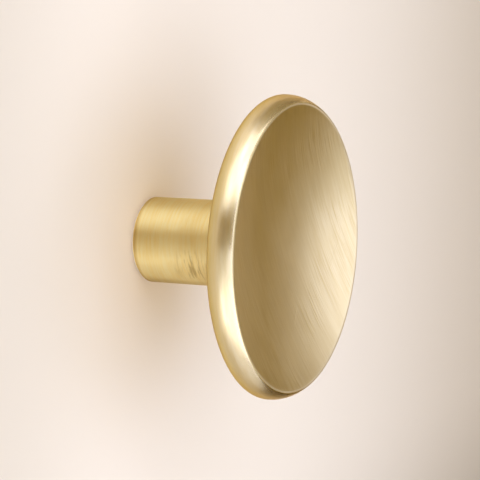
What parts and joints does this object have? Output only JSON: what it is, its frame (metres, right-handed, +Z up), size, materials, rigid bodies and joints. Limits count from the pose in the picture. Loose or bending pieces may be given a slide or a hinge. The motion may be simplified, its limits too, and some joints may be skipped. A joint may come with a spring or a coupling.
{
  "type": "cabinet knob",
  "caption": "Round cabinet knob: a wide head with a shallow concave face and a rounded side, on a plain cylindrical shank with a blind threaded hole in its flat base.",
  "frame": {"origin": "centre of the base, the flat end of the shank that sits on the mounting surface, on the knob's axis", "axes": "-Y runs out along the knob's axis, from the base to the face, and +Z is up in use; the knob is round about that axis, so it has no top of its own"},
  "size_m": [0.04, 0.022, 0.04],
  "materials": {
    "brass": "brushed to a satin, with straight lines across the dish and lines round the shank and the side"
  },
  "bodies": {
    "root": {"knob": "brass"}
  },
  "joints": []
}
